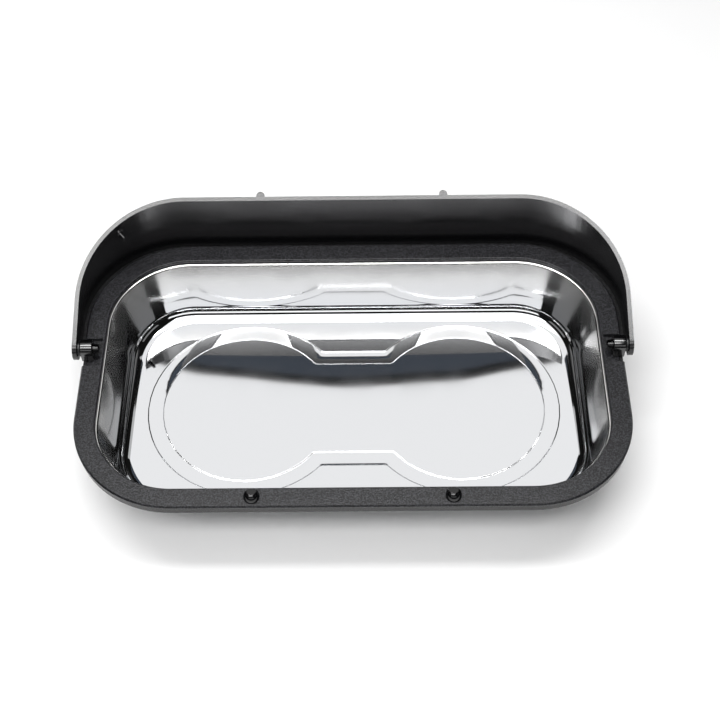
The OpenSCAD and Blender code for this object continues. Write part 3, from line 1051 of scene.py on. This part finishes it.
@dataclass
class Pivot:
    """One side's pivot: a glossy barrel on a foot in the rim's notch, and the split snap pin in it."""

    side: Side
    pivot_back: float = PIVOT_BACK
    pivot_z: float = 44.0775
    notch_z: float = NOTCH_Z
    bush_in_x: float = 116.1
    bush_l: float = 5.4
    bush_d: float = 8.0
    bush_round: float = 0.35
    foot_back: float = 0.06
    bore_d: float = 4.0
    pin_d: float = 3.9
    pin_tip_x: float = 113.55
    pin_end_x: float = 124.7
    snap_l: float = 2.4
    snap_d: float = 4.5
    tip_d: float = 3.8
    pin_round: float = 0.3
    slot: float = 1.2
    slot_l: float = 5.1
    slot_spare: float = 1.0
    slot_round: float = 0.2
    slot_deg: float = 40.0
    bush_deg: float = 30.0

    def from_x(self, x: float) -> Point3:
        """Gives a point on the pivot's axis at that distance from the tray's middle."""
        return (self.side.value * x, self.pivot_back, self.pivot_z)

    @property
    def outward(self) -> Vector:
        """The axis's direction away from the tray's middle."""
        return Vector((self.side.value, 0, 0))

    def bush(self) -> bpy.types.Object:
        """Makes the barrel with its foot and its bore.

        Returns:
            The piece.
        """
        piece = turned(f"{self.side.word}_bush_barrel", bar(self.bush_l, self.bush_d / 2, self.bush_round))
        put(piece, self.from_x(self.bush_in_x), self.outward)
        ends = self.side.span(self.bush_in_x + self.foot_back, self.bush_in_x + self.bush_l - self.foot_back)
        half = self.bush_d / 2 - self.foot_back
        low = (ends[0], self.pivot_back - half, self.notch_z)
        high = (ends[1], self.pivot_back + half, self.pivot_z)
        foot = block(low, high)
        ease(foot, self.bush_round, self.bush_deg)
        merge(piece, [foot], Operation.ADD)
        bore = turned("helper_bore", bar(3 * self.bush_l, self.bore_d / 2, self.bush_round))
        put(bore, self.from_x(self.bush_in_x - self.bush_l), self.outward)
        merge(piece, [bore], Operation.CUT)
        finish_mesh(piece.data, self.bush_deg)
        return piece

    def pin(self) -> bpy.types.Object:
        """Makes the pin with its split snap end.

        Returns:
            The piece.
        """
        length = self.pin_end_x - self.pin_tip_x
        radius, edge = self.pin_d / 2, self.pin_round
        outline = [(0.0, 0.0), *arc((self.tip_d / 2 - edge, edge), edge, -90, 0)]
        outline += [(self.snap_d / 2, self.snap_l), (radius, self.snap_l)]
        outline += [*arc((radius - edge, length - edge), edge, 0, 90), (0.0, length)]
        piece = put(turned(f"{self.side.word}_pin_snap", outline), self.from_x(self.pin_tip_x), self.outward)
        ends = self.side.span(self.pin_tip_x - self.slot_spare, self.pin_tip_x + self.slot_l)
        low = (ends[0], self.pivot_back - self.slot / 2, self.pivot_z - self.snap_d)
        high = (ends[1], self.pivot_back + self.slot / 2, self.pivot_z + self.snap_d)
        merge(piece, [block(low, high)], Operation.CUT)
        ease(piece, self.slot_round, self.slot_deg)
        return piece

    def build(self, finishes: Finishes) -> None:
        """Makes both pieces and hands them over.

        Args:
            finishes: The tray's materials.
        """
        word = self.side.word
        hand_over(self.bush(), finishes.barrel, Body.TRAY, f"{word}_pivot_bush")
        hand_over(self.pin(), finishes.gloss, Body.HANDLE, f"{word}_pivot_pin")


@dataclass
class LatchClip:
    """One latch clip: a glossy domed button with a slot open to the back, which leaves two horns."""

    side: Side
    x: float = 42.0
    y: float = -66.2
    dome_r: float = 3.4
    height: float = 3.8
    stem_r: float = 1.5
    stem_l: float = 1.6
    slot_r: float = 2.05
    slot_front: float = -1.05
    slot_z: float = 0.9
    rounding: float = 0.3
    dome_steps: int = 20
    edge_round: float = 0.18
    edge_deg: float = 35.0

    def slot(self) -> list[bpy.types.Object]:
        """Makes the helpers that cut the slot: a round front end and a straight run out to the back.

        Returns:
            The helpers.
        """
        centre = self.side.value * self.x
        middle = self.y + self.slot_front + self.slot_r
        low_z = RIM_Z + self.slot_z
        end = turned("helper_slot_end", bar(self.height, self.slot_r, self.rounding))
        put(end, (centre, middle, low_z), UP)
        run = block((centre - self.slot_r, middle, low_z),
                    (centre + self.slot_r, self.y + 2 * self.dome_r, low_z + self.height))
        return [end, run]

    def build(self, finishes: Finishes) -> None:
        """Makes the button and hands it over.

        Args:
            finishes: The tray's materials.
        """
        shoulder = self.height - self.dome_r
        outline = [(0.0, -self.stem_l), (self.stem_r, -self.stem_l), (self.stem_r, 0.0), (self.dome_r, 0.0)]
        outline += arc((0.0, shoulder), self.dome_r, 0, 90, self.dome_steps)
        piece = turned(f"{self.side.word}_clip_button", outline)
        put(piece, (self.side.value * self.x, self.y, RIM_Z), UP)
        merge(piece, self.slot(), Operation.CUT)
        ease(piece, self.edge_round, self.edge_deg)
        hand_over(piece, finishes.gloss, Body.TRAY, f"{self.side.word}_latch_clip")


@dataclass
class Rim:
    """The rim's upper half, swept round the tray, with notches for the pivots."""

    width: float = 242.0
    depth: float = 142.0
    corner: float = 45.0
    rim_w: float = 9.3
    frame_under_z: float = 38.3
    flange_z: float = FLANGE_Z
    parting_z: float = 40.0
    rebate_w: float = 4.2
    step_w: float = 1.95
    edge_bevel: float = 0.7
    edge_r: float = 0.15
    mouth_bevel: float = 0.4
    mouth_r: float = 0.35
    parting_r: float = 0.25
    under_r: float = 0.1
    notch_x: float = 113.1
    notch_z: float = NOTCH_Z
    notch_l: float = 15.0
    notch_spare: float = 20.0
    notch_round: float = 0.3
    notch_deg: float = 50.0
    pivot_back: float = PIVOT_BACK

    def section(self) -> list[Point2]:
        """Gives the section with soft edges, from the parting line up, over the top and round underneath.

        Returns:
            The closed section: distance out from the rim's outline, and height.
        """
        rebate_x = self.rebate_w - self.rim_w
        return softened([
            (0.0, self.parting_z, self.parting_r),
            (0.0, RIM_Z - self.edge_bevel, self.edge_r),
            (-self.edge_bevel, RIM_Z, self.edge_r),
            (-self.rim_w + self.mouth_bevel, RIM_Z, self.mouth_r),
            (-self.rim_w, RIM_Z - self.mouth_bevel, self.mouth_r),
            (-self.rim_w, self.flange_z, self.under_r),
            (rebate_x, self.flange_z, 0.0),
            (rebate_x, self.frame_under_z, self.under_r),
            (-self.step_w, self.frame_under_z, self.under_r),
            (-self.step_w, self.parting_z, 0.0)])

    def notch_blocks(self) -> list[bpy.types.Object]:
        """Makes the helpers that cut the notches.

        Returns:
            One helper for each side.
        """
        low_y, high_y = self.pivot_back - self.notch_l / 2, self.pivot_back + self.notch_l / 2
        helpers = []
        for side in Side:
            ends = side.span(self.notch_x, self.notch_x + self.notch_spare)
            helpers.append(block((ends[0], low_y, self.notch_z), (ends[1], high_y, RIM_Z + self.notch_spare)))
        return helpers

    def build(self, finishes: Finishes) -> None:
        """Makes the frame and hands it over.

        Args:
            finishes: The tray's materials.
        """
        size = (self.width, self.depth, self.corner)
        frame = SweepTree().sweep("rim_frame_moulding", self.section(), size, finishes.rim)
        merge(frame, self.notch_blocks(), Operation.CUT)
        ease(frame, self.notch_round, self.notch_deg)
        hand_over(frame, finishes.rim, Body.TRAY, "rim_frame")


@dataclass
class FrameScrews:
    """The pan-head screws under the ring: one screw, repeated at each screw's place in the rim."""

    rim: Rim
    inset: float = 3.2
    per_side: int = 4
    shelf_z: float = 36.6
    head_d: float = 4.6
    head_h: float = 1.5
    head_round: float = 0.55
    head_flat_share: float = 0.55
    shank_d: float = 2.4
    shank_top_z: float = 40.7
    tip_bevel: float = 0.4
    recess_half: Point2 = (1.25, 0.32)
    recess_deep: float = 0.9
    recess_spare: float = 1.0
    steps: int = 24
    sharp_deg: float = 35.0

    def places(self) -> list[Point2]:
        """Gives the screws' places, as the solids have them.

        Returns:
            The places in the tray's own frame.
        """
        half_w, half_d = self.rim.width / 2, self.rim.depth / 2
        reach = half_w - self.rim.corner
        found = []
        for sign in (-1, 1):
            for index in range(self.per_side):
                found.append((reach * (2 * index / (self.per_side - 1) - 1), sign * (half_d - self.inset)))
            found.append((sign * (half_w - self.inset), self.rim.corner - half_d))
            found.append((sign * (half_w - self.inset), self.rim.pivot_back))
        return found

    def screw(self) -> bpy.types.Object:
        """Makes one screw with a rounded head and a cross recess.

        Returns:
            The helper object, with its axis on Z and its seat at height 0.
        """
        head, shank = self.head_d / 2, self.shank_d / 2
        length = self.shank_top_z - self.shelf_z
        outline = [(0.0, -self.head_h), (head * self.head_flat_share, -self.head_h)]
        outline += arc((head - self.head_round, self.head_round - self.head_h), self.head_round, -90, 0)
        outline += [(head, 0.0), (shank, 0.0), (shank, length - self.tip_bevel)]
        outline += [(shank - self.tip_bevel, length), (0.0, length)]
        pattern = put(turned("screw_pattern", outline, self.steps), (0.0, -TRAY_Y, 0.0), UP)
        cross = []
        for half_x, half_y in (self.recess_half, self.recess_half[::-1]):
            low = (-half_x, -half_y - TRAY_Y, -self.head_h - self.recess_spare)
            high = (half_x, half_y - TRAY_Y, -self.head_h + self.recess_deep)
            cross.append(block(low, high))
        merge(pattern, cross, Operation.CUT)
        finish_mesh(pattern.data, self.sharp_deg)
        return pattern

    def build(self, finishes: Finishes) -> None:
        """Makes the screws and hands them over.

        Args:
            finishes: The tray's materials.
        """
        points = bpy.data.meshes.new("frame_screw_set")
        points.from_pydata([(x * MM, (y + TRAY_Y) * MM, self.shelf_z * MM) for x, y in self.places()], [], [])
        piece = new_object("frame_screw_set", points)
        pattern = self.screw()
        ScrewTree().run(piece, (pattern, finishes.screw))
        bpy.data.objects.remove(pattern)
        finish_mesh(piece.data, self.sharp_deg)
        hand_over(piece, finishes.screw, Body.TRAY, "frame_screws")


def solid_copy(nodes: Nodes, node: str, name: str, weld: float = 0.002,
               flat_deg: float = 0.3) -> bpy.types.Object:
    """Copies a solid's mesh, with each flat face made one face again.

    Args:
        nodes: The frame's solids by name.
        node: The solid to copy.
        name: The new piece's name.
        weld: Points nearer to one another than this are made one.
        flat_deg: Faces that turn by less than this are one flat face.

    Returns:
        The new piece.
    """
    form = bmesh.new()
    form.from_mesh(nodes[node].data)
    bmesh.ops.remove_doubles(form, verts=form.verts, dist=weld * MM)
    bmesh.ops.dissolve_limit(form, angle_limit=math.radians(flat_deg), verts=form.verts, edges=form.edges)
    return new_object(name, mesh_of(form, name))


@dataclass
class HandleBand:
    """The tall band of the handle: its solid with soft edges, a rear wall bowed in at the top, and a peg.

    The bow is what moulding stress leaves in a long thin wall. Only the wall's bowed top shows the bright
    dish, and the rest of it shows the black rim. The peg stands on the small rib in the left rear corner.
    """

    rib_back: float = 77.8
    top_z: float = 71.752
    rise_deg: float = 18.0
    bow_in: float = 0.28
    bow_h: float = 11.3
    bow_from: float = 25.0
    bow_to: float = 60.0
    bow_steps: int = 8
    corner: Point2 = (-77.2, 27.9)
    inner_r: float = 45.6
    peg_turn_deg: float = 131.5
    peg_z: float = 62.2
    peg_l: float = 5.0
    peg_r: float = 0.8
    peg_root: float = 0.6
    peg_dip: float = 0.1
    collar_r: float = 1.4
    collar_l: float = 1.3
    collar_round: float = 0.3
    peg_steps: int = 32
    tip_steps: int = 6
    rounding: float = 0.45
    round_deg: float = 28.0

    def bow(self, piece: bpy.types.Object) -> None:
        """Bends the upper part of the wall in, more and more from the arms to the rear.

        Args:
            piece: The handle's copy, in metres.
        """
        rise = math.radians(self.rise_deg)
        across = Vector((0, -math.sin(rise), math.cos(rise)))
        top = Vector((0, (self.rib_back + TRAY_Y) * MM, self.top_z * MM))
        form = bmesh.new()
        form.from_mesh(piece.data)
        for step in range(1, self.bow_steps + 1):
            place = top - across * (self.bow_h * step / self.bow_steps * MM)
            bmesh.ops.bisect_plane(form, geom=form.verts[:] + form.edges[:] + form.faces[:],
                                   dist=SEAM * MM, plane_co=place, plane_no=across)
        for vert in form.verts:
            depth = (top - vert.co).dot(across) / MM
            up_share = max(0.0, 1 - depth / self.bow_h)
            back = vert.co.y / MM - TRAY_Y
            back_share = min(1.0, max(0.0, (back - self.bow_from) / (self.bow_to - self.bow_from)))
            vert.co.y -= self.bow_in * up_share ** 2 * back_share * MM
        form.to_mesh(piece.data)
        form.free()

    def peg(self) -> bpy.types.Object:
        """Makes the peg with its collar, which points in from the wall and a little down.

        Returns:
            The helper object.
        """
        turn = math.radians(self.peg_turn_deg)
        out_x, out_y = math.cos(turn), math.sin(turn)
        root = (self.corner[0] + self.inner_r * out_x, self.corner[1] + self.inner_r * out_y, self.peg_z)
        edge = self.collar_round
        outline = [(0.0, -self.peg_root), (self.collar_r, -self.peg_root)]
        outline += arc((self.collar_r - edge, self.collar_l - edge), edge, 0, 90)
        outline += [(self.peg_r, self.collar_l)]
        outline += arc((0.0, self.peg_l - self.peg_r), self.peg_r, 0, 90, self.tip_steps)
        along = Vector((-out_x, -out_y, -self.peg_dip)).normalized()
        return put(turned("helper_peg", outline, self.peg_steps), root, along)

    def build(self, nodes: Nodes, finishes: Finishes) -> None:
        """Makes the band and hands it over.

        Args:
            nodes: The frame's solids by name.
            finishes: The tray's materials.
        """
        piece = solid_copy(nodes, "handle", "handle_band")
        self.bow(piece)
        merge(piece, [self.peg()], Operation.ADD)
        ease(piece, self.rounding, self.round_deg)
        hand_over(piece, finishes.handle, Body.HANDLE, "handle")


@dataclass(frozen=True)
class EasedPiece:
    """A moulded piece whose solid is right and only needs soft edges and its finish."""

    node: str
    name: str
    body: Body
    slot: str
    rounding: float
    round_deg: float = 28.0

    def build(self, nodes: Nodes, material: bpy.types.Material) -> None:
        """Makes the piece and hands it over.

        Args:
            nodes: The frame's solids by name.
            material: The piece's material.
        """
        piece = solid_copy(nodes, self.node, self.name)
        ease(piece, self.rounding, self.round_deg)
        hand_over(piece, material, self.body, self.node)


@dataclass(frozen=True)
class Softbox:
    """One soft light: a flat bright panel that faces down unless it is aimed, with its lengths in metres."""

    name: str
    place: Point3
    size: Point2
    radiance: float
    aim: Point3 | None = None
    tint: str = "#ffffff"
    turn_deg: float = 0.0

    def hang(self) -> None:
        """Puts the light into the scene, with a face as bright as its radiance, where 1 is white."""
        data = bpy.data.lights.new(self.name, "AREA")
        data.shape = "RECTANGLE"
        data.size, data.size_y = self.size
        data.energy = self.radiance * math.pi * self.size[0] * self.size[1]
        data.color = linear(self.tint)[:3]
        light = bpy.data.objects.new(self.name, data)
        light.location = self.place
        aim = self.aim or (self.place[0], self.place[1], 0.0)
        aimed = (Vector(aim) - Vector(self.place)).to_track_quat("-Z", "Y")
        light.rotation_euler = (Quaternion(UP, math.radians(self.turn_deg)) @ aimed).to_euler()
        bpy.context.scene.collection.objects.link(light)


@dataclass
class Studio:
    """The pale floor, the lights and the camera."""

    lens_px: float = 1323.0
    frame_px: float = 720.0
    sensor_mm: float = 36.0
    elevation_deg: float = 54.351
    yaw_deg: float = 0.796
    roll_deg: float = -1.142
    target: Point3 = (3.278, 3.357 + TRAY_Y, RIM_Z)
    distance: float = 590.07
    clip_start_m: float = 0.01
    floor_half_m: float = 3.0
    dark: str = "#151514"
    lights: tuple[Softbox, ...] = (
        Softbox("overhead_softbox", (-0.18, -0.048, 0.95), (1.14, 1.406), 1.05),
        Softbox("overhead_fill", (-0.13, -0.25, 0.94), (1.04, 1.0), 0.25),
        Softbox("overhead_lamp", (-0.06, 0.095, 0.93), (0.9, 0.17), 12.0),
        Softbox("front_lamp", (-0.175, -0.43, 0.93), (0.97, 0.2), 7.6),
        Softbox("far_left_sheet", (-0.595, 0.6685, 0.95), (0.4776, 0.08), 0.55, turn_deg=-19.6),
        Softbox("far_right_sheet", (0.595, 0.6685, 0.95), (0.4776, 0.08), 0.55, turn_deg=19.6),
        Softbox("front_card", (0.0, -1.0, 0.58), (1.6, 0.26), 1.3, aim=(0.0, 0.0, 0.03)),
        Softbox("left_card", (-1.3, -0.25, 0.75), (0.9, 0.3), 0.22, aim=(0.0, 0.0, 0.1)),
        Softbox("right_card", (1.3, -0.25, 0.75), (0.9, 0.3), 0.22, aim=(0.0, 0.0, 0.1)),
        Softbox("rear_panel", (0.0, 0.80, 0.95), (0.7, 0.26), 0.09, tint="#c8d8f0"),
    )

    def camera(self) -> None:
        """Puts the camera at the photograph's place and angle."""
        up, yaw, roll = (math.radians(angle) for angle in (self.elevation_deg, self.yaw_deg, self.roll_deg))
        back = Vector((math.sin(yaw) * math.cos(up), -math.cos(yaw) * math.cos(up), math.sin(up)))
        right = Vector((math.cos(yaw), math.sin(yaw), 0.0))
        over = back.cross(right)
        turned_right = right * math.cos(roll) + over * math.sin(roll)
        turned_over = over * math.cos(roll) - right * math.sin(roll)
        data = bpy.data.cameras.new("camera")
        data.sensor_width = self.sensor_mm
        data.lens = self.lens_px * self.sensor_mm / self.frame_px
        data.clip_start = self.clip_start_m
        camera = bpy.data.objects.new("camera", data)
        place = Matrix((turned_right, turned_over, back)).transposed().to_4x4()
        place.translation = (Vector(self.target) + back * self.distance) * MM
        camera.matrix_world = place
        bpy.context.scene.collection.objects.link(camera)
        bpy.context.scene.camera = camera

    def floor(self) -> None:
        """Lays the pale floor."""
        form = bmesh.new()
        bmesh.ops.create_grid(form, x_segments=1, y_segments=1, size=self.floor_half_m)
        floor = new_object("paper_floor", mesh_of(form, "paper_floor"))
        dress(floor, StudioPaper().material())

    def build(self) -> None:
        """Sets up the whole studio."""
        self.camera()
        self.floor()
        for light in self.lights:
            light.hang()
        world = bpy.data.worlds.new("dark_studio")
        world.use_nodes = True
        world.node_tree.nodes["Background"].inputs["Color"].default_value = linear(self.dark)
        bpy.context.scene.world = world
        bpy.context.scene.view_settings.view_transform = "Standard"


def build_moulded(nodes: Nodes, finishes: Finishes) -> None:
    """Makes the handle, the ring and the rubber covers.

    Args:
        nodes: The frame's solids by name.
        finishes: The tray's materials.
    """
    HandleBand().build(nodes, finishes)
    EasedPiece("retaining_ring", "retaining_ring_moulding", Body.TRAY, "ring_plastic",
               rounding=0.25).build(nodes, finishes.ring)
    for side in Side:
        EasedPiece(f"{side.word}_rubber_cover", f"{side.word}_cover_boot", Body.TRAY, "cover_rubber",
                   rounding=0.3).build(nodes, finishes.rubber)


def dress_solids(nodes: Nodes, finishes: Finishes) -> None:
    """Gives the solids that stay their finishes.

    Args:
        nodes: The frame's solids by name.
        finishes: The tray's materials.
    """
    kinds: dict[str, bpy.types.Material] = {
        "pivot_washer": finishes.washer, "weld_stud": finishes.stud, "magnet_cup": finishes.cup,
        "ring_magnet": finishes.ferrite, "stud_washer": finishes.zinc, "stud_nut": finishes.zinc}
    for side in Side:
        for kind, material in kinds.items():
            dress(nodes[f"{side.word}_{kind}"], material)


def main() -> None:
    """Builds the scene."""
    logging.basicConfig(level=logging.INFO, format="%(name)s: %(message)s")
    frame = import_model()
    nodes = frame["nodes"]
    Studio().build()
    finishes = Finishes()
    SteelDish().build(finishes)
    rim = Rim()
    rim.build(finishes)
    FrameScrews(rim).build(finishes)
    for side in Side:
        Pivot(side).build(finishes)
        LatchClip(side).build(finishes)
    build_moulded(nodes, finishes)
    dress_solids(nodes, finishes)


if __name__ == "__main__":
    main()
